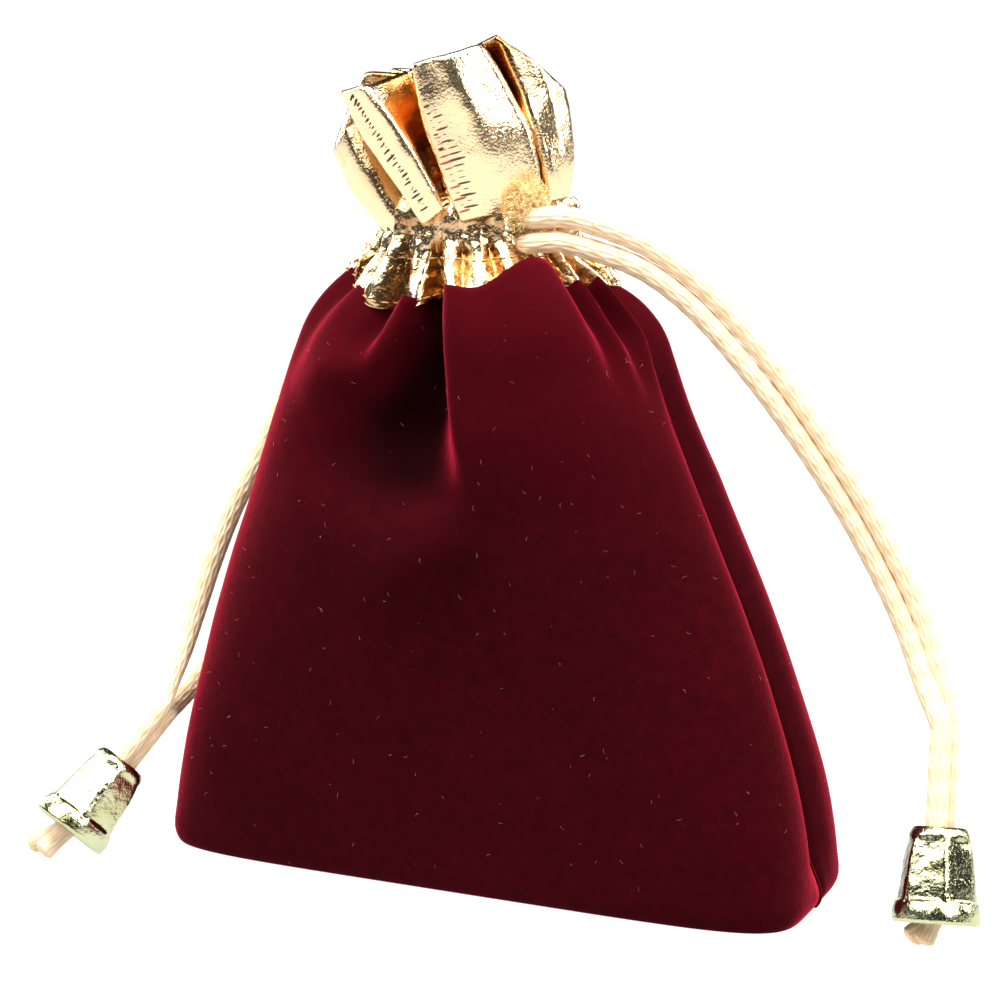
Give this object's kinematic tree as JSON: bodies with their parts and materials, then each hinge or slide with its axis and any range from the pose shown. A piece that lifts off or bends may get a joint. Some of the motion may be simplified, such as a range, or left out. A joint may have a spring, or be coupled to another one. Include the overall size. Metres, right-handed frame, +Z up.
{
  "type": "drawstring gift pouch",
  "caption": "Velvet gift pouch with a gathered gold foil collar, closed by two satin drawstring loops that end in bell beads.",
  "frame": {"origin": "on the table under the middle of the pouch's base, measured without the free cords and their beads", "axes": "+Z up through the neck, the front panel faces -Y, the right side seam is at +X"},
  "size_m": [0.1296, 0.0462, 0.1095],
  "materials": {
    "velvet": "short-pile burgundy velvet",
    "velvet_thread": "burgundy sewing thread",
    "gold_foil": "gold foil on woven cloth, finely crinkled",
    "gold_thread": "gold sewing thread",
    "satin_cord": "cream satin cord",
    "plated_bead": "plastic plated in pale greenish gold, lightly hammered flats"
  },
  "bodies": {
    "pouch": {"velvet_front_panel": "velvet", "velvet_back_panel": "velvet", "body_seam_thread": "velvet_thread", "gold_collar_front": "gold_foil", "gold_collar_back": "gold_foil", "channel_stitching_lower": "gold_thread", "channel_stitching_upper": "gold_thread", "join_stitching": "gold_thread", "drawstring_right_neck_run": "satin_cord", "drawstring_left_neck_run": "satin_cord"},
    "right_loop": {"drawstring_right_upper_strand": "satin_cord", "drawstring_right_lower_strand": "satin_cord", "cord_knot_right": "satin_cord"},
    "right_bead": {"bead_right": "plated_bead"},
    "left_loop": {"drawstring_left_front_strand": "satin_cord", "drawstring_left_rear_strand": "satin_cord", "cord_knot_left": "satin_cord"},
    "left_bead": {"bead_left": "plated_bead"}
  },
  "joints": [
    {"name": "right_drawstring_pull", "type": "slide", "parent": "pouch", "child": "right_loop", "axis": [0.7071, -0.7071, 0], "range_m": [0, 0.008]},
    {"name": "right_bead_slide", "type": "slide", "parent": "right_loop", "child": "right_bead", "axis": [-0.076, 0.3401, 0.9373], "range_m": [0, 0.012]},
    {"name": "left_drawstring_pull", "type": "slide", "parent": "pouch", "child": "left_loop", "axis": [-0.7071, 0.7071, 0], "range_m": [0, 0.008]},
    {"name": "left_bead_slide", "type": "slide", "parent": "left_loop", "child": "left_bead", "axis": [0.3932, 0.5828, 0.7112], "range_m": [0, 0.0065]}
  ]
}
